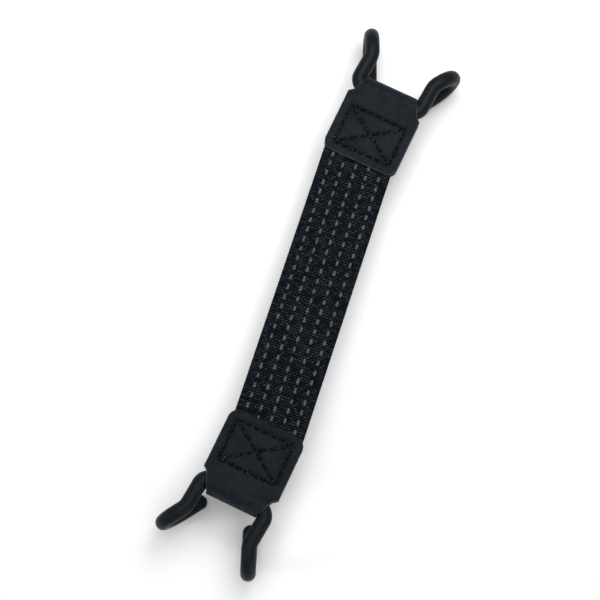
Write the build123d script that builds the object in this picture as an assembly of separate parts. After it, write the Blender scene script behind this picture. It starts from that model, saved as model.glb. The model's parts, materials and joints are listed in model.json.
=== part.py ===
from build123d import *
import os
from math import atan2, cos, degrees, hypot, radians, sin, tan

# Elastic hand strap for a phone.
#
# A woven elastic band runs between two leather ends.  Each leather end is one strip folded
# round the bar of a double hook, and sewn to the band with a box and a cross.  The four
# rubber-covered prongs reach over two opposite corners of the phone and grip its edges.
#
# Frame (millimetres): +Y runs along the band, +X across it, +Z points away from the phone.
# The origin is midway between the two leather ends, at the height of the tips' undersides.
# End "b" is end "a" turned half a turn about Z, but for how each hook lies in its loose loop.

# ---- driving dimensions -------------------------------------------------------------------

# Woven band
BAND_HALF_LENGTH = 39.2    # strap centre to the edge of a leather end
BAND_WIDTH = 20.5
BAND_THICKNESS = 1.5
STRAND_COUNT = 12          # rubber strands inside the weave
STRAND_PITCH = 1.6
STRAND_SIZE = 0.7          # width and height of one strand

# Grip threads, woven into the front of the band as rows of raised dashes
GRIP_ROWS = 5
GRIP_ROW_PITCH = 3.65
GRIP_ROW_STAGGER = 0.65    # each row starts this much further along than the one on its left
DASH_PITCH = 2.9
DASH_LENGTH = 1.65
DASH_WIDTH = 0.85
DASH_HEIGHT = 0.35
DASH_EDGE_GAP = 0.15       # from the last dash to the leather

# Leather ends
WRAP_TURN = 7.2            # degrees clockwise of the band, seen from the front
WRAP_WIDTH = 22.4
WRAP_LENGTH = 24.4         # cut edge to fold
WRAP_CORNER_RADIUS = 2.8
LEATHER_THICKNESS = 1.0
TONGUE_WIDTH = 14.0        # the part that goes round the bar
SHOULDER_LENGTH = 17.6     # cut edge to shoulder, short enough for the prongs to swing
BAND_TAB_LENGTH = 15.2     # band held between the two leather flaps
LOOP_START = 19.8          # where the loop round the bar has its full height

# Stitching, a box with a cross
STITCH_BOX_WIDTH = 17.0
STITCH_BOX_LENGTH = 11.8
STITCH_EDGE_GAP = 2.6      # cut edge to the first row
STITCHES_ACROSS = 7
STITCHES_ALONG = 5
STITCHES_DIAGONAL = 6      # even, so that no stitch lies on the crossing
STITCH_FILL = 0.66         # share of the pitch that a stitch covers
THREAD_WIDTH = 0.6
GROOVE_WIDTH = 0.9
DIAGONAL_INSET = 1.2       # keeps the cross clear of the corner stitches
FRONT_GROOVE_DEPTH = 0.3
FRONT_THREAD_HEIGHT = 0.5
BACK_GROOVE_DEPTH = 0.5
BACK_THREAD_HEIGHT = 0.4   # less than the groove, so the back stays flat

# Hooks
WIRE_RADIUS = 1.3
SLEEVE_FIT = 0.02          # radial gap between the wire and its sleeves
BAR_SLEEVE_RADIUS = 1.9
PRONG_SLEEVE_RADIUS = 2.15
BAR_CLEARANCE = 0.25       # radial gap between the bar sleeve and the leather loop
BAR_SETBACK = 3.8          # fold to bar centre
HOOK_TURN = {"a": 3.4, "b": 5.2}      # degrees clockwise of the leather, within the loop's play
HOOK_SLIDE = {"a": -0.3, "b": 0.0}    # sideways along the bar, within the loop's play
PRONG_SPACING = 20.0       # between the centrelines of the straight runs
ROOT_RADIUS = 2.9          # bend from the bar into a prong
PRONG_RUN = 6.0            # straight run after the root bend
SEAM_ANGLE = 22.0          # how far round a root bend the bar sleeve reaches
SPLAY_RADIUS = 5.0
SPLAY_ANGLE = 28.0
MOUTH_GAP = 8.3            # between a prong's underside and the top of its tip
TIP_LENGTH = 5.0           # straight return under the phone

# ---- values worked out from them ----------------------------------------------------------

DOWN_RADIUS = MOUTH_GAP / 2 + PRONG_SLEEVE_RADIUS
MID_HEIGHT = PRONG_SLEEVE_RADIUS + 2 * DOWN_RADIUS    # band, leather and bar share this level
FLAP_INNER = BAND_THICKNESS / 2
FLAP_OUTER = FLAP_INNER + LEATHER_THICKNESS
LOOP_INNER = BAR_SLEEVE_RADIUS + BAR_CLEARANCE
LOOP_OUTER = LOOP_INNER + LEATHER_THICKNESS
BAR_STRAIGHT = PRONG_SPACING / 2 - ROOT_RADIUS        # half of the bar's straight length
HALF_TURN = {"a": 0, "b": 180}


# ---- placing ------------------------------------------------------------------------------

def end_place(end):
    """Frame of one leather end: origin mid-thickness at its cut edge, +Y out to the fold."""
    return Rot(0, 0, HALF_TURN[end]) * Pos(0, BAND_HALF_LENGTH, MID_HEIGHT) * Rot(0, 0, -WRAP_TURN)


def hook_place(end):
    """Frame of one hook: origin at the middle of its bar, +Y towards the prong bends."""
    bar_centre = end_place(end) * Pos(0, WRAP_LENGTH - BAR_SETBACK, 0)
    return bar_centre * Rot(0, 0, -HOOK_TURN[end]) * Pos(HOOK_SLIDE[end], 0, 0)


# ---- band ---------------------------------------------------------------------------------

def band_strip(offset, width, thickness):
    """A lengthwise strip of the band that turns with the leather at both ends."""
    half = radians(WRAP_TURN) / 2

    def corner_points(lateral):
        """Strip line at a lateral offset: the mitre at the leather edge, then the tab end."""
        mitre = Vector(lateral, BAND_HALF_LENGTH - lateral * tan(half))
        tab_end = (end_place("a") * Pos(lateral, BAND_TAB_LENGTH, 0)).position
        return [mitre, Vector(tab_end.X, tab_end.Y)]

    def full_line(lateral):
        """The same line from the tab end at b to the tab end at a."""
        opposite = [Vector(-point.X, -point.Y) for point in corner_points(-lateral)]
        return opposite[::-1] + corner_points(lateral)

    left = full_line(offset - width / 2)
    right = full_line(offset + width / 2)
    outline = make_face(Polyline(*left, *right[::-1], close=True))
    return Pos(0, 0, MID_HEIGHT) * extrude(outline, thickness / 2, both=True)


def rubber_strands():
    """Rubber strands that give the band its stretch."""
    middle = (STRAND_COUNT - 1) / 2
    return [
        band_strip((index - middle) * STRAND_PITCH, STRAND_SIZE, STRAND_SIZE)
        for index in range(STRAND_COUNT)
    ]


def woven_band(strands):
    """The textile of the band, with a channel round each rubber strand."""
    return band_strip(0, BAND_WIDTH, BAND_THICKNESS) - strands


def grip_thread(row):
    """One row of raised dashes; row 0 is the middle of the band."""
    across = row * GRIP_ROW_PITCH
    reach = DASH_LENGTH / 2 + DASH_EDGE_GAP
    slant = tan(radians(WRAP_TURN))
    top = BAND_HALF_LENGTH - (across + DASH_WIDTH / 2) * slant - reach
    bottom = -BAND_HALF_LENGTH - (across - DASH_WIDTH / 2) * slant + reach
    dash = extrude(SlotOverall(DASH_LENGTH, DASH_WIDTH, rotation=90), DASH_HEIGHT)
    height = MID_HEIGHT + BAND_THICKNESS / 2
    count = int(BAND_HALF_LENGTH / DASH_PITCH) + 1
    dashes = []
    for index in range(-count, count + 1):
        along = index * DASH_PITCH + row * GRIP_ROW_STAGGER
        if bottom <= along <= top:
            dashes.append(Pos(across, along, height) * dash)
    return dashes


# ---- leather ends -------------------------------------------------------------------------

def loop_line(flap, loop):
    """Side view line of the folded strip, at half heights flap (sewn) and loop (round the bar)."""
    fold_centre = WRAP_LENGTH - LOOP_OUTER
    middle = (BAND_TAB_LENGTH + LOOP_START) / 2

    def flap_line(side):
        """One flap from the cut edge to the loop."""
        sewn = Line((0, side * flap), (BAND_TAB_LENGTH, side * flap))
        swell = Bezier(
            (BAND_TAB_LENGTH, side * flap),
            (middle, side * flap),
            (middle, side * loop),
            (LOOP_START, side * loop),
        )
        level = Line((LOOP_START, side * loop), (fold_centre, side * loop))
        return [sewn, swell, level]

    fold = ThreePointArc((fold_centre, -loop), (fold_centre + loop, 0), (fold_centre, loop))
    return [*flap_line(-1), fold, *flap_line(1)]


def wrap_outline():
    """Plan view of a leather end: rounded cut corners, square shoulders and a tongue."""
    half_width = WRAP_WIDTH / 2
    half_tongue = TONGUE_WIDTH / 2
    outline = Polyline(
        (-half_width, 0),
        (half_width, 0),
        (half_width, SHOULDER_LENGTH),
        (half_tongue, SHOULDER_LENGTH),
        (half_tongue, WRAP_LENGTH),
        (-half_tongue, WRAP_LENGTH),
        (-half_tongue, SHOULDER_LENGTH),
        (-half_width, SHOULDER_LENGTH),
        close=True,
    )
    face = make_face(outline)
    cut_corners = face.vertices().group_by(Axis.Y)[0]
    return fillet(cut_corners, WRAP_CORNER_RADIUS)


def stitch_lines():
    """Start, end and stitch count of each row of the box and the cross."""
    right = STITCH_BOX_WIDTH / 2
    near = STITCH_EDGE_GAP
    far = STITCH_EDGE_GAP + STITCH_BOX_LENGTH
    diagonal = hypot(STITCH_BOX_WIDTH, STITCH_BOX_LENGTH)
    inset_x = DIAGONAL_INSET * STITCH_BOX_WIDTH / diagonal
    inset_y = DIAGONAL_INSET * STITCH_BOX_LENGTH / diagonal
    rows = []
    for side in (-1, 1):
        rows.append(((side * right, near), (side * right, far), STITCHES_ALONG))
        start = (-side * (right - inset_x), near + inset_y)
        finish = (side * (right - inset_x), far - inset_y)
        rows.append((start, finish, STITCHES_DIAGONAL))
    for along in (near, far):
        rows.append(((-right, along), (right, along), STITCHES_ACROSS))
    return rows


def row_blocks(face_side, depth, height, width, whole_rows=False):
    """Blocks rising from a depth below one face: a block per stitch, or one for a whole row."""
    floor = FLAP_OUTER - depth
    blocks = []
    for start, finish, count in stitch_lines():
        run_x = finish[0] - start[0]
        run_y = finish[1] - start[1]
        length = hypot(run_x, run_y)
        turn = degrees(atan2(run_y, run_x))
        pieces = 1 if whole_rows else count
        fill = 1.0 if whole_rows else STITCH_FILL
        for index in range(pieces):
            share = (index + 0.5) / pieces
            place = Pos(start[0] + share * run_x, start[1] + share * run_y, 0) * Rot(0, 0, turn)
            block = Box(fill * length / pieces, width, height)
            rise = face_side * (floor + height / 2)
            blocks.append(place * Pos(0, 0, rise) * block)
    return blocks


def leather_wrap(end):
    """The folded strip, grooved where the stitches pull into it."""
    outer = loop_line(FLAP_OUTER, LOOP_OUTER)
    inner = loop_line(FLAP_INNER, LOOP_INNER)
    cut_edges = [Line((0, side * FLAP_INNER), (0, side * FLAP_OUTER)) for side in (-1, 1)]
    section = Face(Wire(edge for line in [*outer, *inner, *cut_edges] for edge in line.edges()))
    folded = extrude(Plane.YZ * section, WRAP_WIDTH / 2, both=True)
    blank = extrude(wrap_outline(), 2 * LOOP_OUTER, both=True)
    wrap = folded & blank
    for face_side, depth in ((1, FRONT_GROOVE_DEPTH), (-1, BACK_GROOVE_DEPTH)):
        wrap -= row_blocks(face_side, depth, 2 * depth, GROOVE_WIDTH, whole_rows=True)
    return end_place(end) * wrap


def needle_thread(end):
    """Stitches seen on the front of a leather end."""
    stitches = row_blocks(1, FRONT_GROOVE_DEPTH, FRONT_THREAD_HEIGHT, THREAD_WIDTH)
    return [end_place(end) * stitch for stitch in stitches]


def bobbin_thread(end):
    """Stitches seen on the back of a leather end, sunk below its face."""
    stitches = row_blocks(-1, BACK_GROOVE_DEPTH, BACK_THREAD_HEIGHT, THREAD_WIDTH)
    return [end_place(end) * stitch for stitch in stitches]


# ---- hooks --------------------------------------------------------------------------------

def root_bend(side, start, finish):
    """Centreline of a root bend between two angles, measured from the bar."""
    def point(angle):
        """Point on the bend after it has turned by the angle."""
        outward = BAR_STRAIGHT + ROOT_RADIUS * sin(radians(angle))
        return Vector(side * outward, ROOT_RADIUS * (1 - cos(radians(angle))), 0)

    return ThreePointArc(point(start), point((start + finish) / 2), point(finish))


def bar_edges():
    """Centreline of the bar, a little way round both root bends."""
    bar = Line((-BAR_STRAIGHT, 0), (BAR_STRAIGHT, 0))
    return [bar, root_bend(-1, 0, SEAM_ANGLE), root_bend(1, 0, SEAM_ANGLE)]


def prong_edges(side):
    """Centreline of a prong from the end of the bar sleeve to the end of its tip."""
    spacing = side * PRONG_SPACING / 2
    splay = radians(SPLAY_ANGLE)
    heading = Vector(side * sin(splay), cos(splay), 0)
    root_end = Vector(spacing, ROOT_RADIUS, 0)
    run_end = Vector(spacing, ROOT_RADIUS + PRONG_RUN, 0)

    def splay_point(angle):
        """Point on the splay bend after it has turned by the angle."""
        outward = side * SPLAY_RADIUS * (1 - cos(angle))
        return run_end + Vector(outward, SPLAY_RADIUS * sin(angle), 0)

    splay_end = splay_point(splay)
    outermost = splay_end + heading * DOWN_RADIUS - Vector(0, 0, DOWN_RADIUS)
    underside = splay_end - Vector(0, 0, 2 * DOWN_RADIUS)
    return [
        root_bend(side, SEAM_ANGLE, 90),
        Line(root_end, run_end),
        ThreePointArc(run_end, splay_point(splay / 2), splay_end),
        ThreePointArc(splay_end, outermost, underside),
        Line(underside, underside - heading * TIP_LENGTH),
    ]


def rod(edges, radius):
    """Round rod along tangent edges."""
    path = Wire(edge for line in edges for edge in line.edges())
    section = Plane(path @ 0, z_dir=path % 0) * Circle(radius)
    return sweep(section, path=path)


def hook_wire(end):
    """The bent steel wire: bar, two root bends and two prongs."""
    edges = bar_edges() + prong_edges(-1) + prong_edges(1)
    return hook_place(end) * rod(edges, WIRE_RADIUS)


def bar_sleeve(end):
    """Rubber tube on the bar, thin enough to turn inside the leather loop."""
    edges = bar_edges()
    tube = rod(edges, BAR_SLEEVE_RADIUS) - rod(edges, WIRE_RADIUS + SLEEVE_FIT)
    return hook_place(end) * tube


def prong_sleeve(end, side):
    """Thicker rubber tube on a prong and its root bend, closed and rounded at the tip."""
    edges = prong_edges(side)
    tip = edges[-1] @ 1
    tube = rod(edges, PRONG_SLEEVE_RADIUS) + Pos(*tip) * Sphere(PRONG_SLEEVE_RADIUS)
    return hook_place(end) * (tube - rod(edges, WIRE_RADIUS + SLEEVE_FIT))


# ---- writing ------------------------------------------------------------------------------

def write(name, solids):
    """One STEP file for one node, with each of its solids kept separate."""
    pieces = solids if isinstance(solids, list) else [solids]
    children = [solid for piece in pieces for solid in piece.solids()]
    export_step(Compound(children=children), "parts/" + name + ".step")


def main():
    """Build and write every node."""
    os.makedirs("parts", exist_ok=True)
    strands = rubber_strands()
    write("rubber_strands", strands)
    write("woven_band", woven_band(strands))
    for number in range(1, GRIP_ROWS + 1):
        write("grip_thread_" + str(number), grip_thread(number - (GRIP_ROWS + 1) // 2))
    for end in ("a", "b"):
        write("leather_wrap_" + end, leather_wrap(end))
        write("needle_thread_" + end, needle_thread(end))
        write("bobbin_thread_" + end, bobbin_thread(end))
        write("hook_wire_" + end, hook_wire(end))
        write("bar_sleeve_" + end, bar_sleeve(end))
        for label, side in (("left", -1), ("right", 1)):
            write("prong_sleeve_" + end + "_" + label, prong_sleeve(end, side))


main()
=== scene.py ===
import json
from math import cos, exp, hypot, pi, radians, sin, sqrt, tan

import bpy
import numpy as np
from mathutils import Matrix, Vector


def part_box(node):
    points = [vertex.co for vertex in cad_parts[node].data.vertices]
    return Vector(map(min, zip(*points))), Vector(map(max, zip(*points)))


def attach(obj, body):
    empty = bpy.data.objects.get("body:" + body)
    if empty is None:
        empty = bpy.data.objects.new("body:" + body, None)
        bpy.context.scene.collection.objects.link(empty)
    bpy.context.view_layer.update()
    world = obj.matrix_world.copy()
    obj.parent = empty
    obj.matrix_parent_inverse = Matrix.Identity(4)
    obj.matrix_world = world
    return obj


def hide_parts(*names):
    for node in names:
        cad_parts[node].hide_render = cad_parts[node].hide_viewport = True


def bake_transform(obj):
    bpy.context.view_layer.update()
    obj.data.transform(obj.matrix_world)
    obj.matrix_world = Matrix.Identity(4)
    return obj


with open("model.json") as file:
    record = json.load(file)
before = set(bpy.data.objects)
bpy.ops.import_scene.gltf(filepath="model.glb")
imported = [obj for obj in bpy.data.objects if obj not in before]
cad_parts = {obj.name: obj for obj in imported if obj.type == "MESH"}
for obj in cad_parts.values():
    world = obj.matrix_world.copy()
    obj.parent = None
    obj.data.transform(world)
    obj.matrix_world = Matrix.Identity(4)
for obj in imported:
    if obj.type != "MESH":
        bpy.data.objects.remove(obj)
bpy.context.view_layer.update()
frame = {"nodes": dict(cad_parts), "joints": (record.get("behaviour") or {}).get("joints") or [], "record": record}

# The finished looks of an elastic phone strap: woven band, grip threads, leather ends with
# their stitching, and the rubber sleeves of the two double hooks.  Metres, in the CAD frame.

MM = 0.001

# ---- sizes --------------------------------------------------------------------------------

# Woven band
BAND_WIDTH = 20.5 * MM
BAND_THICKNESS = 1.5 * MM
BAND_TAB_LENGTH = 15.2 * MM      # held inside each leather end
RIB_PITCH = 0.725 * MM
RIB_STEPS = 4                    # mesh rows in one rib
RIB_HEIGHT = 0.17 * MM
FLOATS_ACROSS = 18               # raised yarn floats in one rib
FLOAT_STEPS = 5                  # mesh columns in one float
FLOAT_HEIGHT = 0.07 * MM
SELVEDGE_WIDTH = 0.7 * MM        # plain ribs along both sides
SELVEDGE_FADE = 0.3 * MM
SELVEDGE_SWELL = 0.6             # share of a float's height that the selvedge has throughout
RIB_SINK = 0.7                   # share of a rib's height that lies below the plain surface
RIBS_UNDER_LEATHER = 2.2 * MM    # how far the ribs go on inside a leather end
RIB_FADE = 1.0 * MM
HIDDEN_RINGS = 8                 # mesh rings of the plain tab inside a leather end
TURN_IN_LENGTH = 4.0 * MM        # where the band bends to follow a leather end

# Grip threads
GRIP_ROWS = 5
GRIP_ROW_STAGGER = 0.65 * MM
DASH_PITCH = 2.9 * MM
DASH_LENGTH = 1.6 * MM
DASH_WIDTH = 0.8 * MM
DASH_HEIGHT = 0.33 * MM
DASH_PINCH = 0.2                 # share of its size that a dash loses in the middle
DASH_PINCH_REACH = 0.22          # share of its half length that the pinch takes up
DASH_SINK = 0.2 * MM
DASH_ROUNDING = 3.2              # power by which a dash narrows towards its ends
DASH_END_FULLNESS = 0.04         # square of the share of its size left at the very ends
DASH_PLY_SWELL = 0.09
DASH_PLY_TWIST = 1.6
DASH_RINGS = 13
DASH_SEGMENTS = 14
DASH_CLEARANCE = 0.2             # least distance from dash middle to leather, in dash lengths
DASH_SIZE_SPREAD = 0.06
DASH_DRIFT = 0.05 * MM

# Leather ends
WRAP_WIDTH = 22.4 * MM
WRAP_LENGTH = 24.4 * MM
WRAP_CORNER_RADIUS = 2.8 * MM
LEATHER_THICKNESS = 1.0 * MM
LEATHER_EDGE_RADIUS = 0.28 * MM
SHOULDER_START = 17.8 * MM
SHOULDER_END = 18.9 * MM
NECK_WIDTH = 19.6 * MM           # just past the shoulders
FOLD_WIDTH = 14.7 * MM
RISE_START = 14.8 * MM           # where the flaps start to rise over the bar
LOOP_INNER = 2.15 * MM
RISE_EASE = 0.3                  # share of the rise that starts and ends softly
FOLD_CREST_REACH = 2.4 * MM       # how far the pebbled grain and its painted highlight specks reach from the fold
CORNER_RINGS = 14
SEWN_RINGS = 64
SHOULDER_RINGS = 5
RISE_RINGS = 10
FOLD_RINGS = 33
LEATHER_COLUMNS = 97             # mesh columns across one face
OUTER_FACE_SHARE = 0.45          # share of the half thickness above which stitching shapes it
EDGE_COLUMNS = 6                 # mesh columns round a side of the band or of a leather strip
EDGE_ANGLES = np.linspace(0, pi, EDGE_COLUMNS + 2)[1:-1]

# Stitching
STITCH_BOX_WIDTH = 17.0 * MM
STITCH_BOX_LENGTH = 11.8 * MM
STITCH_EDGE_GAP = 2.6 * MM
STITCHES_ACROSS = 7
STITCHES_ALONG = 5
STITCHES_DIAGONAL = 6
DIAGONAL_INSET = 0.9 * MM
STITCH_FILL = 0.68               # share of the pitch between a stitch's two holes
STITCH_SLANT = radians(9)
THREAD_RADIUS = 0.33 * MM
STITCH_RISE = 0.75               # height of a stitch's middle, in thread radii
STITCH_DIVE = 2.9                # how far its ends go down from there, in thread radii
STITCH_DIVE_POWER = 3.5
PLIES = 3
PLY_SWELL = 0.13
PLY_TWIST = 5
STITCH_RINGS = 15
STITCH_SEGMENTS = 12
SEAM_DIP = 0.26 * MM             # how far a row pulls the leather down
SEAM_DIP_WIDTH = 0.62 * MM
HOLE_DIP = 0.42 * MM
HOLE_RADIUS = 0.34 * MM
PUFF_HEIGHT = 0.16 * MM          # swelling between the rows
PUFF_REACH = 1.7 * MM
PUFF_FADE_ALONG = 2.5 * MM
PUFF_FADE_ACROSS = 1.2 * MM

# Hooks
BAR_SLEEVE_RADIUS = 1.9 * MM
PRONG_SLEEVE_RADIUS = 2.15 * MM
BAR_SETBACK = 3.8 * MM
PRONG_SPACING = 20.0 * MM
ROOT_RADIUS = 2.9 * MM
PRONG_RUN = 6.0 * MM
SEAM_ANGLE = radians(22)         # how far round a root bend the bar sleeve reaches
SPLAY_RADIUS = 5.0 * MM
SPLAY_ANGLE = radians(28)
MOUTH_GAP = 8.3 * MM
TIP_LENGTH = 5.0 * MM
TUBE_STEP = 0.22 * MM            # spacing of mesh rings along a sleeve
TUBE_SEGMENTS = 32
CUT_ROUNDING = 0.3 * MM          # rounded rim of a prong sleeve's cut end
CREASE_PLACE = 3.1 * MM          # along a prong sleeve, where its root bend pinches it
CREASE_DEPTH = 0.16 * MM
CREASE_WIDTH = 0.28 * MM
CREASE_FOCUS = 1.5               # power that keeps the crease to the inside of the bend
BULGE_SHARE = 0.5                # of the crease's depth, pushed up beside it
BULGE_SPREAD = 2.4               # of the bulge, in crease widths
SLEEVE_UNEVENNESS = 0.03 * MM
SLEEVE_WAVE = 2.3 * MM
DOME_RINGS = 10
DOME_END_SHARE = 0.04            # radius left at the very tip

# Camera and room
CAMERA_SPIN = radians(12.15)
CAMERA_TILT = radians(11.44)
CAMERA_ROLL = radians(6.14)
CAMERA_DISTANCE = 425.1 * MM
CAMERA_AIM = (-2.96 * MM, -3.58 * MM)
CAMERA_LENS = 91.8
CAMERA_SENSOR_WIDTH = 36
CAMERA_CLIP_START = 0.01
FLOOR_REACH = 3.0
SKY_STRENGTH = 0.35

RANDOM_SEED = 7

# ---- places, from the frame ---------------------------------------------------------------

joints = {joint["name"]: joint for joint in frame["joints"]}
mounts = {mount["name"]: mount for mount in frame["record"]["mounts"]}
HALF_TURN = Matrix.Rotation(pi, 4, "Z")

# The bar of hook b is centred in its leather loop, so its joint and the mount behind its
# leather give the line of leather end b.  Leather end a is the same half a turn round.
bar_centre = HALF_TURN @ Vector(joints["hook_b_swing"]["pos_m"])
back_face = HALF_TURN @ Vector(mounts["back_face_b"]["pos_m"])
MID_HEIGHT = bar_centre.z
leather_out = Vector((bar_centre.x - back_face.x, bar_centre.y - back_face.y, 0)).normalized()
cut_edge = bar_centre - leather_out * (WRAP_LENGTH - BAR_SETBACK)
BAND_HALF_LENGTH = cut_edge.y
LEATHER_TURN = np.arctan2(leather_out.x, leather_out.y)

CENTRE = (0, 0, MID_HEIGHT)
# Name, place, aim, size and power of each lamp, in metres and watts
LAMPS = (
    ("overhead_softbox", (0, 0.1, 1.1), CENTRE, 1.2, 9.5),
    ("far_card", (0.01, 0.085, 0.185), (0.01, 0.06, MID_HEIGHT), 0.1, 0.19),
    ("low_right_lamp", (0.42, -0.34, 0.08), CENTRE, 0.12, 0.5),
    ("low_left_lamp", (-0.4, -0.3, 0.25), CENTRE, 0.1, 0.4),
)


def axes_place(origin, along):
    """Matrix of a frame with +Y along a level direction and +Z up."""
    across = Vector((along.y, -along.x, 0))
    columns = (across, along, Vector((0, 0, 1)))
    turn = Matrix([[column[row] for column in columns] for row in range(3)]).to_4x4()
    return Matrix.Translation(origin) @ turn


def end_place(end):
    """Frame of a leather end: origin mid-thickness at its cut edge, +Y out to the fold."""
    place = axes_place(cut_edge, leather_out)
    return place if end == "a" else HALF_TURN @ place


def hook_place(end):
    """Frame of a hook: origin at the middle of its bar, +Y towards the prong bends."""
    joint = joints["hook_" + end + "_swing"]
    direction = joint["axis"]
    return axes_place(Vector(joint["pos_m"]), Vector((-direction[1], direction[0], 0)))


# ---- mesh helpers -------------------------------------------------------------------------

def new_piece(name, points, faces, material, place=None):
    """A smooth-shaded mesh object from points in metres."""
    mesh = bpy.data.meshes.new(name)
    mesh.from_pydata([tuple(point) for point in points], [], faces)
    if place is not None:
        mesh.transform(place)
    mesh.polygons.foreach_set("use_smooth", [True] * len(mesh.polygons))
    mesh.materials.append(material)
    mesh.update()
    piece = bpy.data.objects.new(name, mesh)
    bpy.context.scene.collection.objects.link(piece)
    return piece


def loft_faces(ring_count, ring_size, first=0):
    """Faces of a closed skin through rings, its two ends zipped shut."""
    faces = []
    for ring in range(ring_count - 1):
        here = first + ring * ring_size
        for index in range(ring_size):
            following = (index + 1) % ring_size
            faces.append(
                (here + index, here + following, here + ring_size + following, here + ring_size + index)
            )
    last = first + (ring_count - 1) * ring_size
    for index in range(ring_size // 2 - 1):
        opposite = ring_size - 1 - index
        faces.append((first + opposite, first + opposite - 1, first + index + 1, first + index))
        faces.append((last + index, last + index + 1, last + opposite - 1, last + opposite))
    return faces


def skin(name, rings, material, place=None):
    """One closed skin through an array of rings."""
    ring_count, ring_size, _ = rings.shape
    return new_piece(name, rings.reshape(-1, 3), loft_faces(ring_count, ring_size), material, place)


def many_skins(name, skins, material, place=None):
    """Separate closed skins of one size in one object."""
    points = np.concatenate([rings.reshape(-1, 3) for rings in skins])
    ring_count, ring_size, _ = skins[0].shape
    faces = []
    for index in range(len(skins)):
        faces += loft_faces(ring_count, ring_size, index * ring_count * ring_size)
    return new_piece(name, points, faces, material, place)


def smoothstep(value):
    """0 below 0, 1 above 1 and a smooth rise between."""
    clipped = np.clip(value, 0, 1)
    return clipped * clipped * (3 - 2 * clipped)


# ---- material helpers ---------------------------------------------------------------------

def srgb(red, green, blue):
    """Linear colour from 8-bit display values."""
    def linear(value):
        share = value / 255
        return share / 12.92 if share <= 0.04045 else ((share + 0.055) / 1.055) ** 2.4
    return (linear(red), linear(green), linear(blue), 1)


class Shader:
    """A material's node tree with short calls for the nodes used here."""

    def __init__(self, name, roughness, specular=0.5):
        self.material = bpy.data.materials.new(name)
        self.material.use_nodes = True
        self.tree = self.material.node_tree
        self.surface = self.tree.nodes["Principled BSDF"]
        self.surface.inputs["Roughness"].default_value = roughness
        self.surface.inputs["Specular IOR Level"].default_value = specular
        self.coordinates = self.tree.nodes.new("ShaderNodeTexCoord").outputs["Object"]

    def link(self, source, target):
        """Joins two sockets."""
        self.tree.links.new(source, target)

    def scaled(self, scale):
        """Object coordinates stretched by a scale for each axis."""
        mapping = self.tree.nodes.new("ShaderNodeMapping")
        mapping.inputs["Scale"].default_value = scale
        self.link(self.coordinates, mapping.inputs["Vector"])
        return mapping.outputs["Vector"]

    def noise(self, scale, detail, stretch=(1, 1, 1)):
        """Noise value, scale in cells per metre."""
        node = self.tree.nodes.new("ShaderNodeTexNoise")
        node.inputs["Scale"].default_value = scale
        node.inputs["Detail"].default_value = detail
        node.inputs["Roughness"].default_value = 0.55
        self.link(self.scaled(stretch), node.inputs["Vector"])
        return node.outputs["Fac"]

    def cells(self, scale):
        """Distance value of a smooth cell pattern, scale in cells per metre."""
        node = self.tree.nodes.new("ShaderNodeTexVoronoi")
        node.feature = "SMOOTH_F1"
        node.inputs["Scale"].default_value = scale
        self.link(self.coordinates, node.inputs["Vector"])
        return node.outputs["Distance"]

    def painted(self, name):
        """Value painted on the mesh's vertices."""
        node = self.tree.nodes.new("ShaderNodeAttribute")
        node.attribute_name = name
        return node.outputs["Fac"]

    def ramp(self, value, stops):
        """Colour ramp from (position, colour) stops, lowest first."""
        node = self.tree.nodes.new("ShaderNodeValToRGB")
        elements = node.color_ramp.elements
        for element, (position, colour) in zip(elements, stops):
            element.position = position
            element.color = colour
        for position, colour in stops[2:]:
            elements.new(position).color = colour
        self.link(value, node.inputs["Fac"])
        return node.outputs["Color"]

    def spread(self, value, low, high):
        """A 0 to 1 value moved to a range."""
        node = self.tree.nodes.new("ShaderNodeMapRange")
        node.inputs["To Min"].default_value = low
        node.inputs["To Max"].default_value = high
        self.link(value, node.inputs["Value"])
        return node.outputs["Result"]

    def combined(self, operation, first, second):
        """Sum (ADD) or product (MULTIPLY) of two varying values."""
        node = self.tree.nodes.new("ShaderNodeMath")
        node.operation = operation
        self.link(first, node.inputs[0])
        self.link(second, node.inputs[1])
        return node.outputs["Value"]

    def blended(self, share, first, second):
        """Two colours mixed by a varying share of the second."""
        node = self.tree.nodes.new("ShaderNodeMix")
        node.data_type = "RGBA"
        self.link(share, node.inputs["Factor"])
        for colour, socket in ((first, node.inputs[6]), (second, node.inputs[7])):
            self.link(colour, socket)
        return node.outputs[2]

    def bump(self, height, distance, strength, below=None):
        """Bump from a height value; below is the bump that it lies on."""
        node = self.tree.nodes.new("ShaderNodeBump")
        node.inputs["Distance"].default_value = distance
        node.inputs["Strength"].default_value = strength
        self.link(height, node.inputs["Height"])
        if below is not None:
            self.link(below, node.inputs["Normal"])
        return node.outputs["Normal"]

    def finish(self, colour, roughness=None, normal=None):
        """Connects what varies and returns the material."""
        for value, socket in ((colour, "Base Color"), (roughness, "Roughness"), (normal, "Normal")):
            if value is not None:
                self.link(value, self.surface.inputs[socket])
        return self.material


# ---- materials ----------------------------------------------------------------------------

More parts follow.
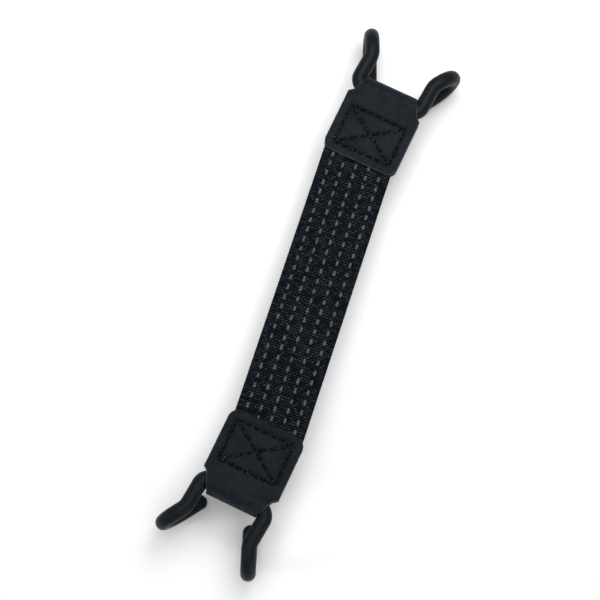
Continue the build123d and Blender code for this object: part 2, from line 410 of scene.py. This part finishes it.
def leather_material():
    """Charcoal-blue grained leather with uneven gloss, pebbled at the fold, where painted highlight specks lighten
    the grain.
    """
    shader = Shader("charcoal_leather", 0.5, 0.035)
    grain = shader.cells(1900)
    pebbles = shader.noise(2100, 2)
    patches = shader.combined("ADD", shader.noise(260, 5), shader.spread(grain, 0.22, -0.22))
    plain = shader.ramp(patches, [(0.25, srgb(15, 19, 23)), (0.75, srgb(27, 32, 38))])
    crest_share = shader.painted("fold_crest_grain_and_glints")
    # Painted highlight: light specks on the pebbled grain at the fold crest; the pebbled bump is real relief.
    painted_crest_glints = shader.ramp(pebbles, [(0.42, srgb(15, 19, 26)), (0.64, srgb(64, 72, 84))])
    rough = shader.spread(shader.noise(900, 4), 0.42, 0.58)
    coarse = shader.bump(grain, 0.16 * MM, 0.9)
    fine = shader.bump(shader.noise(5200, 3), 0.03 * MM, 0.5, coarse)
    pebbled = shader.bump(shader.combined("MULTIPLY", pebbles, crest_share), 0.2 * MM, 0.9, fine)
    return shader.finish(shader.blended(crest_share, plain, painted_crest_glints), rough, pebbled)


def leather_edge_material():
    """Cut edge of the leather: a lighter, fibrous and duller stripe."""
    shader = Shader("leather_cut_edge", 0.75, 0.1)
    fibres = shader.noise(4200, 4)
    colour = shader.ramp(fibres, [(0.3, srgb(52, 58, 64)), (0.7, srgb(84, 91, 98))])
    return shader.finish(colour, None, shader.bump(fibres, 0.08 * MM, 0.8))


def band_material():
    """Black elastic weave: painted highlight on the yarn floats over near-black gaps of painted shade."""
    shader = Shader("black_elastic_weave", 0.72, 0.02)
    fuzz = shader.noise(3400, 4, stretch=(0.35, 1, 1))
    light = shader.combined("ADD", shader.painted("yarn_tone_and_painted_light"), shader.spread(fuzz, -0.25, 0.25))
    # Ramp from the painted shade of the gaps to the painted highlight of the floats.
    stops = [
        (0.05, srgb(2, 3, 5)),
        (0.32, srgb(10, 14, 19)),
        (0.62, srgb(33, 37, 43)),
        (0.95, srgb(58, 62, 68)),
    ]
    colour = shader.ramp(light, stops)
    return shader.finish(colour, None, shader.bump(fuzz, 0.05 * MM, 0.6))


def grip_material():
    """Grey grip yarn."""
    shader = Shader("grey_grip_yarn", 0.6, 0.15)
    fibres = shader.noise(3800, 4, stretch=(1, 0.4, 1))
    colour = shader.ramp(fibres, [(0.35, srgb(38, 44, 49)), (0.66, srgb(86, 92, 98))])
    return shader.finish(colour, None, shader.bump(fibres, 0.05 * MM, 0.7))


def thread_material():
    """Waxed black sewing thread with a few painted highlight glints."""
    shader = Shader("waxed_black_thread", 0.24, 0.05)
    fibres = shader.noise(2600, 3)
    # The lightest stop paints highlight glints into the thread's colour.
    stops = [(0.3, srgb(4, 6, 9)), (0.65, srgb(9, 12, 16)), (0.76, srgb(150, 160, 172))]
    colour = shader.ramp(fibres, stops)
    return shader.finish(colour, None, shader.bump(fibres, 0.03 * MM, 0.5))


def rubber_material():
    """Satin black rubber with a faint mottled bloom."""
    shader = Shader("satin_black_rubber", 0.42, 0.07)
    mottle = shader.noise(420, 5)
    skin_grain = shader.noise(3000, 3)
    colour = shader.ramp(mottle, [(0.3, srgb(15, 20, 24)), (0.75, srgb(22, 28, 32))])
    rough = shader.spread(shader.noise(700, 4), 0.34, 0.5)
    return shader.finish(colour, rough, shader.bump(skin_grain, 0.02 * MM, 0.4))


def steel_material():
    """Drawn steel wire."""
    shader = Shader("drawn_steel", 0.3)
    shader.surface.inputs["Metallic"].default_value = 1.0
    lines = shader.noise(3000, 3, stretch=(1, 0.1, 1))
    colour = shader.ramp(lines, [(0.3, srgb(150, 152, 155)), (0.7, srgb(190, 192, 195))])
    return shader.finish(colour, None, shader.bump(lines, 0.02 * MM, 0.3))


def floor_material():
    """Matt white floor with the faintest mottling."""
    shader = Shader("pale_floor", 0.9, 0.2)
    cloud = shader.noise(3, 2)
    return shader.finish(shader.ramp(cloud, [(0.3, srgb(236, 236, 237)), (0.7, srgb(240, 240, 241))]))


leather = leather_material()
leather_edge = leather_edge_material()
elastic = band_material()
grip_yarn = grip_material()
thread = thread_material()
rubber = rubber_material()
steel = steel_material()

# ---- woven band ---------------------------------------------------------------------------

def band_line(along):
    """Centre and crosswise direction of the band at a distance along it, turned in at each end."""
    side = np.sign(along)
    distance = np.abs(along) - BAND_HALF_LENGTH
    past = np.clip(distance, 0, TURN_IN_LENGTH)
    turn = LEATHER_TURN * past / TURN_IN_LENGTH
    bend_radius = TURN_IN_LENGTH / LEATHER_TURN
    x = bend_radius * (1 - np.cos(turn))
    y = bend_radius * np.sin(turn)
    rest = np.clip(distance - TURN_IN_LENGTH, 0, None)
    x = x + rest * sin(LEATHER_TURN)
    y = y + rest * cos(LEATHER_TURN)
    centre_y = np.where(distance > 0, BAND_HALF_LENGTH + y, np.abs(along))
    return side * x, side * centre_y, turn


def weave(along, across, random):
    """Relief of the weave, crosswise ribs broken into staggered floats, and its painted light: crowns and floats
    lighter, gaps darker as painted shade, times a random tone for each float.
    """
    flat_width = BAND_WIDTH - BAND_THICKNESS
    rib = np.floor(along / RIB_PITCH).astype(int)
    crown = np.abs(np.sin(pi * along / RIB_PITCH))
    place = across / (flat_width / FLOATS_ACROSS) + rib / 2
    swell = 0.5 + 0.5 * np.cos(2 * pi * place)
    edge = smoothstep((np.abs(across) - flat_width / 2 + SELVEDGE_WIDTH) / SELVEDGE_FADE)
    swell = swell + (SELVEDGE_SWELL - swell) * edge
    lightness = random.random((rib.max() - rib.min() + 1, 2 * FLOATS_ACROSS))
    own = lightness[rib - rib.min(), np.floor(place + 0.5).astype(int) % (2 * FLOATS_ACROSS)]
    relief = RIB_HEIGHT * (crown - RIB_SINK) + FLOAT_HEIGHT * (swell - 0.5) * crown
    # Painted light and shade: rib crowns and float middles lighter, gaps darker; the random own tone is the
    # yarn's.
    tone_and_painted_light = crown * (0.5 + 0.5 * swell) * (0.5 + 0.5 * own)
    return relief, tone_and_painted_light


def band_piece(random):
    """The woven band as one closed skin, ribbed where it shows."""
    shown = BAND_HALF_LENGTH + RIBS_UNDER_LEATHER
    step = RIB_PITCH / RIB_STEPS
    ribbed = np.arange(-round(shown / step), round(shown / step) + 1) * step
    hidden = np.linspace(ribbed[-1], BAND_HALF_LENGTH + BAND_TAB_LENGTH, HIDDEN_RINGS)[1:]
    along = np.concatenate([-hidden[::-1], ribbed, hidden])
    half_width = BAND_WIDTH / 2
    half_thickness = BAND_THICKNESS / 2
    columns = FLOATS_ACROSS * FLOAT_STEPS + 1
    top_across = np.linspace(-half_width + half_thickness, half_width - half_thickness, columns)
    bottom_across = top_across[::-1]
    right_across = half_width - half_thickness + half_thickness * np.sin(EDGE_ANGLES)
    right_height = half_thickness * np.cos(EDGE_ANGLES)
    across = np.concatenate([top_across, right_across, bottom_across, -right_across])
    height = np.concatenate([
        np.full(len(top_across), half_thickness),
        right_height,
        np.full(len(bottom_across), -half_thickness),
        -right_height,
    ])
    facing = height / half_thickness
    grid_along, grid_across = np.meshgrid(along, across, indexing="ij")
    relief, tone_and_painted_light = weave(grid_along, grid_across, random)
    fade = 1 - smoothstep((np.abs(grid_along) - shown + RIB_FADE) / RIB_FADE)
    centre_x, centre_y, turn = band_line(along)
    x = centre_x[:, None] + grid_across * np.cos(turn)[:, None]
    y = centre_y[:, None] - grid_across * np.sin(turn)[:, None]
    z = MID_HEIGHT + height[None, :] + relief * fade * facing[None, :]
    piece = skin("woven_elastic_band", np.stack([x, y, z], axis=-1), elastic)
    yarn = piece.data.attributes.new("yarn_tone_and_painted_light", "FLOAT", "POINT")
    yarn.data.foreach_set("value", tone_and_painted_light.ravel())
    return piece


def dash_rings():
    """One grip dash lying along +Y: two plies twisted together, pinched at both ends."""
    stations = np.linspace(-1, 1, DASH_RINGS)
    angles = np.linspace(0, 2 * pi, DASH_SEGMENTS, endpoint=False) + pi / DASH_SEGMENTS
    rings = []
    for station in stations:
        fullness = sqrt(max(1 - abs(station) ** DASH_ROUNDING, DASH_END_FULLNESS))
        fullness *= 1 - DASH_PINCH * exp(-((station / DASH_PINCH_REACH) ** 2))
        swell = 1 + DASH_PLY_SWELL * np.cos(2 * angles + DASH_PLY_TWIST * station)
        x = DASH_WIDTH / 2 * fullness * swell * np.cos(angles)
        lift = np.where(np.sin(angles) > 0, DASH_HEIGHT * fullness, DASH_SINK)
        z = lift * swell * np.sin(angles)
        y = np.full_like(x, station * DASH_LENGTH / 2)
        rings.append(np.stack([x, y, z], axis=-1))
    return np.array(rings)


def grip_piece(number, random):
    """One row of grip dashes, its place across read from the CAD node."""
    low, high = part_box("grip_thread_" + str(number))
    across = (low[0] + high[0]) / 2
    base = low[2]
    row = number - (GRIP_ROWS + 1) // 2
    slant = tan(LEATHER_TURN)
    top = BAND_HALF_LENGTH - across * slant
    bottom = -BAND_HALF_LENGTH - across * slant
    clearance = DASH_CLEARANCE * DASH_LENGTH
    dash = dash_rings()
    count = int(BAND_HALF_LENGTH / DASH_PITCH) + 2
    dashes = []
    for index in range(-count, count + 1):
        along = index * DASH_PITCH + row * GRIP_ROW_STAGGER
        if bottom + clearance < along < top - clearance:
            size = 1 + DASH_SIZE_SPREAD * random.standard_normal(3)
            drift = DASH_DRIFT * random.standard_normal(2)
            place = np.array([across + drift[0], along + drift[1], base])
            dashes.append(dash * size + place)
    return many_skins("grip_row_" + str(number), dashes, grip_yarn)


# ---- stitching ----------------------------------------------------------------------------

def stitch_rows():
    """Start, end and stitch count of each row of the box and the cross."""
    right = STITCH_BOX_WIDTH / 2
    near = STITCH_EDGE_GAP
    far = STITCH_EDGE_GAP + STITCH_BOX_LENGTH
    diagonal = hypot(STITCH_BOX_WIDTH, STITCH_BOX_LENGTH)
    inset_x = DIAGONAL_INSET * STITCH_BOX_WIDTH / diagonal
    inset_y = DIAGONAL_INSET * STITCH_BOX_LENGTH / diagonal
    rows = []
    for side in (-1, 1):
        rows.append(((side * right, near), (side * right, far), STITCHES_ALONG))
        start = (-side * (right - inset_x), near + inset_y)
        finish = (side * (right - inset_x), far - inset_y)
        rows.append((start, finish, STITCHES_DIAGONAL))
    for along in (near, far):
        rows.append(((-right, along), (right, along), STITCHES_ACROSS))
    return rows


def stitch_spans():
    """The two needle holes of every stitch."""
    spans = []
    for start, finish, count in stitch_rows():
        start = np.array(start)
        step = (np.array(finish) - start) / count
        for index in range(count):
            middle = start + (index + 0.5) * step
            spans.append((middle - step * STITCH_FILL / 2, middle + step * STITCH_FILL / 2))
    return spans


def row_distance(across, along):
    """Distance from points to the nearest stitch row."""
    nearest = np.full(np.shape(across), np.inf)
    for start, finish, _ in stitch_rows():
        run = np.array(finish) - np.array(start)
        share = ((across - start[0]) * run[0] + (along - start[1]) * run[1]) / (run @ run)
        share = np.clip(share, 0, 1)
        gap = np.hypot(across - start[0] - share * run[0], along - start[1] - share * run[1])
        nearest = np.minimum(nearest, gap)
    return nearest


def leather_relief(across, along):
    """How the stitching shapes the leather: seams dip, holes pinch and the rest puffs up."""
    gap = row_distance(across, along)
    relief = -SEAM_DIP * np.exp(-((gap / SEAM_DIP_WIDTH) ** 2))
    for hole in (point for span in stitch_spans() for point in span):
        away = (across - hole[0]) ** 2 + (along - hole[1]) ** 2
        relief = relief - (HOLE_DIP - SEAM_DIP) * np.exp(-away / HOLE_RADIUS ** 2)
    sewn = 1 - smoothstep((along - STITCH_EDGE_GAP - STITCH_BOX_LENGTH) / PUFF_FADE_ALONG)
    inside = 1 - smoothstep((np.abs(across) - STITCH_BOX_WIDTH / 2) / PUFF_FADE_ACROSS)
    puff = PUFF_HEIGHT * (1 - np.exp(-((gap / PUFF_REACH) ** 2)))
    return relief + puff * sewn * inside


def stitch_rings(start, finish, face_side, surface):
    """One stitch: a plied thread that comes up at one hole and goes down at the other."""
    run = finish - start
    length = float(np.hypot(*run))
    direction = run / length
    slant = np.array([
        direction[0] * cos(STITCH_SLANT) - direction[1] * sin(STITCH_SLANT),
        direction[0] * sin(STITCH_SLANT) + direction[1] * cos(STITCH_SLANT),
    ])
    middle = (start + finish) / 2
    sideways = np.array([-slant[1], slant[0]])
    stations = np.linspace(-1, 1, STITCH_RINGS)
    angles = np.linspace(0, 2 * pi, STITCH_SEGMENTS, endpoint=False) + pi / STITCH_SEGMENTS
    rings = []
    for station in stations:
        rise = THREAD_RADIUS * (STITCH_RISE - STITCH_DIVE * abs(station) ** STITCH_DIVE_POWER)
        steepness = STITCH_DIVE * STITCH_DIVE_POWER * abs(station) ** (STITCH_DIVE_POWER - 1)
        lean = np.arctan(-steepness * THREAD_RADIUS * np.sign(station) / (length / 2))
        swell = 1 + PLY_SWELL * np.cos(PLIES * angles + PLY_TWIST * station)
        radius = THREAD_RADIUS * swell
        outward = radius * np.sin(angles)
        along = station * length / 2 - outward * np.sin(lean)
        plan = middle + np.outer(along, slant) + np.outer(radius * np.cos(angles), sideways)
        height = face_side * (surface + rise + outward * np.cos(lean))
        rings.append(np.column_stack([plan, height]))
    return np.array(rings)


def stitch_piece(end, face_side, name, node):
    """All the stitches on one face of a leather end."""
    surface = BAND_THICKNESS / 2 + LEATHER_THICKNESS - SEAM_DIP
    skins = [stitch_rings(start, finish, face_side, surface) for start, finish in stitch_spans()]
    piece = many_skins(name + "_" + end, skins, thread, end_place(end))
    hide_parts(node + "_" + end)
    return piece


# ---- leather ends -------------------------------------------------------------------------

def half_width_at(along):
    """Half width of a leather end in plan, from its cut edge to the fold."""
    full = WRAP_WIDTH / 2
    into_corner = np.clip(WRAP_CORNER_RADIUS - along, 0, None)
    corner = WRAP_CORNER_RADIUS - np.sqrt(WRAP_CORNER_RADIUS ** 2 - into_corner ** 2)
    shoulder = np.clip((along - SHOULDER_START) / (SHOULDER_END - SHOULDER_START), 0, 1)
    taper = np.clip((along - SHOULDER_END) / (WRAP_LENGTH - SHOULDER_END), 0, 1)
    return (
        full
        - corner
        - shoulder * (WRAP_WIDTH - NECK_WIDTH) / 2
        - taper * (NECK_WIDTH - FOLD_WIDTH) / 2
    )


def leather_path():
    """Side view of the strip's middle layer: place, height and outward direction, front to back."""
    sewn_height = (BAND_THICKNESS + LEATHER_THICKNESS) / 2
    loop_height = LOOP_INNER + LEATHER_THICKNESS / 2
    fold_centre = WRAP_LENGTH - loop_height - LEATHER_THICKNESS / 2
    corner = np.linspace(0, 1, CORNER_RINGS) ** 2 * WRAP_CORNER_RADIUS
    flat = np.linspace(WRAP_CORNER_RADIUS, SHOULDER_START, SEWN_RINGS)[1:]
    shoulder = np.linspace(SHOULDER_START, SHOULDER_END, SHOULDER_RINGS)[1:]
    level = np.linspace(SHOULDER_END, fold_centre, RISE_RINGS)[1:]
    along = np.concatenate([corner, flat, shoulder, level])
    rise = (along - RISE_START) / (fold_centre - RISE_START)
    swell = RISE_EASE * smoothstep(rise) + (1 - RISE_EASE) * np.clip(rise, 0, 1)
    height = sewn_height + (loop_height - sewn_height) * swell
    angle = np.linspace(0, pi, FOLD_RINGS)[1:-1]
    y = np.concatenate([along, fold_centre + loop_height * np.sin(angle), along[::-1]])
    z = np.concatenate([height, loop_height * np.cos(angle), -height[::-1]])
    slope_y = np.gradient(y)
    slope_z = np.gradient(z)
    length = np.hypot(slope_y, slope_z)
    return y, z, -slope_z / length, slope_y / length


def leather_piece(end):
    """A leather end: one folded strip with rounded edges, shaped by its stitching."""
    y, z, out_y, out_z = leather_path()
    half_width = half_width_at(y)
    half_thickness = LEATHER_THICKNESS / 2
    share = np.linspace(-1, 1, LEATHER_COLUMNS)
    edge = LEATHER_EDGE_RADIUS
    rings = []
    for station in range(len(y)):
        flat_half = half_width[station] - edge
        across = np.concatenate([
            share * flat_half,
            flat_half + edge * np.sin(EDGE_ANGLES),
            -share * flat_half,
            -flat_half - edge * np.sin(EDGE_ANGLES),
        ])
        lift = np.concatenate([
            np.full(len(share), half_thickness),
            half_thickness * np.cos(EDGE_ANGLES),
            np.full(len(share), -half_thickness),
            -half_thickness * np.cos(EDGE_ANGLES),
        ])
        shaped = leather_relief(across, np.full_like(across, y[station]))
        lift = lift + np.where(lift > OUTER_FACE_SHARE * half_thickness, shaped, 0)
        ring_y = y[station] + lift * out_y[station]
        ring_z = z[station] + lift * out_z[station]
        rings.append(np.column_stack([across, ring_y, ring_z]))
    rings = np.array(rings)
    piece = skin("leather_end_" + end, rings, leather, end_place(end))
    # Share of the fold crest that gets the pebbled bump and the painted highlight specks.
    crest_share = np.repeat(smoothstep((y - WRAP_LENGTH + FOLD_CREST_REACH) / FOLD_CREST_REACH), rings.shape[1])
    piece.data.attributes.new("fold_crest_grain_and_glints", "FLOAT", "POINT").data.foreach_set("value", crest_share)
    paint_cut_edges(piece, rings.shape)
    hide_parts("leather_wrap_" + end)
    return piece


def paint_cut_edges(piece, shape):
    """Gives the strip's side walls and its two cut ends the cut-edge material."""
    ring_count, ring_size, _ = shape
    flat_count = ring_size // 2 - EDGE_COLUMNS
    piece.data.materials.append(leather_edge)
    for polygon in piece.data.polygons:
        if polygon.index >= (ring_count - 1) * ring_size:
            polygon.material_index = 1
            continue
        place = polygon.index % ring_size
        from_wall = place % (flat_count + EDGE_COLUMNS) - flat_count
        if 0 <= from_wall < EDGE_COLUMNS - 1:
            polygon.material_index = 1


# ---- hooks --------------------------------------------------------------------------------

def arc_points(centre, start, finish, angle, count):
    """Points round a centre, turning from the start direction towards the finish direction."""
    turns = np.linspace(0, angle, count)
    return centre + np.outer(np.cos(turns), start) + np.outer(np.sin(turns), finish)


def line_points(start, finish):
    """Evenly spaced points on a straight run."""
    count = max(2, round(float(np.linalg.norm(finish - start)) / TUBE_STEP) + 1)
    return start + np.outer(np.linspace(0, 1, count), finish - start)


def joined(stretches):
    """One line from stretches that share their end points."""
    return np.concatenate([stretches[0]] + [stretch[1:] for stretch in stretches[1:]])


def root_bend(side, start, finish):
    """Centreline of a root bend between two angles, measured from the bar."""
    count = round(ROOT_RADIUS * (finish - start) / TUBE_STEP) + 1
    turns = np.linspace(start, finish, count)
    across = side * (PRONG_SPACING / 2 - ROOT_RADIUS + ROOT_RADIUS * np.sin(turns))
    return np.column_stack([across, ROOT_RADIUS * (1 - np.cos(turns)), np.zeros(count)])


def prong_line(side):
    """Centreline of a prong from the bar sleeve to the end of the tip."""
    up = np.array([0.0, 0.0, 1.0])
    across = np.array([side * 1.0, 0.0, 0.0])
    outward = np.array([0.0, 1.0, 0.0])
    root = root_bend(side, SEAM_ANGLE, pi / 2)
    run_end = root[-1] + outward * PRONG_RUN
    splay_centre = run_end + across * SPLAY_RADIUS
    splay_steps = round(SPLAY_RADIUS * SPLAY_ANGLE / TUBE_STEP) + 1
    splay = arc_points(
        splay_centre, -across * SPLAY_RADIUS, outward * SPLAY_RADIUS, SPLAY_ANGLE, splay_steps
    )
    heading = across * sin(SPLAY_ANGLE) + outward * cos(SPLAY_ANGLE)
    down_radius = MOUTH_GAP / 2 + PRONG_SLEEVE_RADIUS
    down_centre = splay[-1] - up * down_radius
    down_steps = round(pi * down_radius / TUBE_STEP) + 1
    down = arc_points(down_centre, up * down_radius, heading * down_radius, pi, down_steps)
    tip = line_points(down[-1], down[-1] - heading * TIP_LENGTH)
    return joined([root, line_points(root[-1], run_end), splay, down, tip])


def bar_line():
    """Centreline of the bar sleeve: the bar and the start of both root bends."""
    left = root_bend(-1, 0, SEAM_ANGLE)
    right = root_bend(1, 0, SEAM_ANGLE)
    return joined([left[::-1], line_points(left[0], right[0]), right])


TUBE_ANGLES = np.linspace(0, 2 * pi, TUBE_SEGMENTS, endpoint=False) + pi / TUBE_SEGMENTS


def tube_rings(line, radii, relief=None):
    """Rings of a tube along a line, with a radius for each point and relief for each vertex."""
    tangents = np.gradient(line, axis=0)
    tangents /= np.linalg.norm(tangents, axis=1)[:, None]
    normal = np.array([0.0, 0.0, 1.0])
    rings = []
    for index, (point, tangent) in enumerate(zip(line, tangents)):
        normal = normal - tangent * (normal @ tangent)
        normal /= np.linalg.norm(normal)
        side = np.cross(tangent, normal)
        radius = np.full(TUBE_SEGMENTS, radii[index])
        if relief is not None:
            radius = radius + relief[index]
        rings.append(
            point
            + np.outer(radius * np.cos(TUBE_ANGLES), normal)
            + np.outer(radius * np.sin(TUBE_ANGLES), side)
        )
    return np.array(rings)


def travelled(line):
    """Distance along a line at each of its points."""
    steps = np.linalg.norm(np.diff(line, axis=0), axis=1)
    return np.concatenate([[0], np.cumsum(steps)])


def prong_piece(end, label, side):
    """The rubber sleeve of a prong: creased inside its root bend, domed at the tip."""
    line = prong_line(side)
    heading = line[-1] - line[-2]
    heading /= np.linalg.norm(heading)
    dome_angle = np.linspace(0, pi / 2, DOME_RINGS)[1:]
    dome = line[-1] + np.outer(np.sin(dome_angle) * PRONG_SLEEVE_RADIUS, heading)
    dome_radii = np.cos(dome_angle) * PRONG_SLEEVE_RADIUS
    dome_radii[-1] = DOME_END_SHARE * PRONG_SLEEVE_RADIUS
    distance = travelled(line)
    into_rim = np.clip(CUT_ROUNDING - distance, 0, None)
    rim = CUT_ROUNDING - np.sqrt(CUT_ROUNDING ** 2 - into_rim ** 2)
    uneven = SLEEVE_UNEVENNESS * np.sin(distance / SLEEVE_WAVE + side)
    radii = PRONG_SLEEVE_RADIUS - rim + uneven * smoothstep(distance / MM) - SLEEVE_UNEVENNESS
    inside = np.clip(-side * np.sin(TUBE_ANGLES), 0, 1) ** CREASE_FOCUS
    from_crease = (distance - CREASE_PLACE) / CREASE_WIDTH
    crease = -CREASE_DEPTH * np.exp(-(from_crease ** 2))
    bulge = BULGE_SHARE * CREASE_DEPTH * np.exp(-((from_crease / BULGE_SPREAD) ** 2))
    relief = np.outer(np.concatenate([crease + bulge, np.zeros(len(dome))]), inside)
    line = np.concatenate([line, dome])
    rings = tube_rings(line, np.concatenate([radii, dome_radii]), relief)
    piece = skin("prong_rubber_" + end + "_" + label, rings, rubber, hook_place(end))
    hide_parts("prong_sleeve_" + end + "_" + label)
    return piece


def bar_piece(end):
    """The rubber sleeve of the bar, mostly hidden in the leather loop."""
    line = bar_line()
    radii = np.full(len(line), BAR_SLEEVE_RADIUS)
    piece = skin("bar_rubber_" + end, tube_rings(line, radii), rubber, hook_place(end))
    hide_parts("bar_sleeve_" + end)
    return piece


# ---- putting it together ------------------------------------------------------------------

def blend_along_band(piece):
    """Bakes a piece's placement into its mesh."""
    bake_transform(piece)


def build_strap():
    """Every visible piece of the strap, on its body."""
    random = np.random.default_rng(RANDOM_SEED)
    band = band_piece(random)
    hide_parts("woven_band", "rubber_strands")
    blend_along_band(band)
    for number in range(1, GRIP_ROWS + 1):
        row = grip_piece(number, random)
        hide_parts("grip_thread_" + str(number))
        blend_along_band(row)
    for end, leather_body in (("a", "band"), ("b", "end_b")):
        hook_body = "hook_" + end
        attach(leather_piece(end), leather_body)
        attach(stitch_piece(end, 1, "needle_stitches", "needle_thread"), leather_body)
        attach(stitch_piece(end, -1, "bobbin_stitches", "bobbin_thread"), leather_body)
        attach(bar_piece(end), hook_body)
        for label, side in (("left", -1), ("right", 1)):
            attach(prong_piece(end, label, side), hook_body)
        wire = frame["nodes"]["hook_wire_" + end]
        for wire_slot in wire.material_slots:
            wire_slot.material = steel


def area_light(name, place, aim, size, power):
    """A soft square light at a place, pointing at another."""
    light = bpy.data.lights.new(name, "AREA")
    light.shape = "SQUARE"
    light.size = size
    light.energy = power
    lamp = bpy.data.objects.new(name, light)
    lamp.location = place
    lamp.visible_camera = False
    lamp.rotation_euler = (Vector(aim) - Vector(place)).to_track_quat("-Z", "Y").to_euler()
    bpy.context.scene.collection.objects.link(lamp)


def build_room():
    """Pale floor, soft light all round and the camera."""
    floor_mesh = bpy.data.meshes.new("floor")
    reach = FLOOR_REACH
    corners = [(-reach, -reach, 0), (reach, -reach, 0), (reach, reach, 0), (-reach, reach, 0)]
    floor_mesh.from_pydata(corners, [], [(0, 1, 2, 3)])
    floor_mesh.materials.append(floor_material())
    floor = bpy.data.objects.new("floor", floor_mesh)
    bpy.context.scene.collection.objects.link(floor)

    world = bpy.data.worlds.new("studio")
    world.use_nodes = True
    sky = world.node_tree.nodes["Background"]
    sky.inputs["Color"].default_value = (1, 1, 1, 1)
    sky.inputs["Strength"].default_value = SKY_STRENGTH
    bpy.context.scene.world = world

    for name, place, aim, size, power in LAMPS:
        area_light(name, place, aim, size, power)

    camera_data = bpy.data.cameras.new("camera")
    camera_data.lens = CAMERA_LENS
    camera_data.sensor_width = CAMERA_SENSOR_WIDTH
    camera_data.clip_start = CAMERA_CLIP_START
    camera = bpy.data.objects.new("camera", camera_data)
    camera.matrix_world = (
        Matrix.Translation((*CAMERA_AIM, MID_HEIGHT))
        @ Matrix.Rotation(CAMERA_SPIN, 4, "Z")
        @ Matrix.Rotation(CAMERA_TILT, 4, "X")
        @ Matrix.Rotation(CAMERA_ROLL, 4, "Z")
        @ Matrix.Translation((0, 0, CAMERA_DISTANCE))
    )
    bpy.context.scene.collection.objects.link(camera)
    bpy.context.scene.camera = camera
    bpy.context.scene.view_settings.view_transform = "Standard"


build_strap()
build_room()
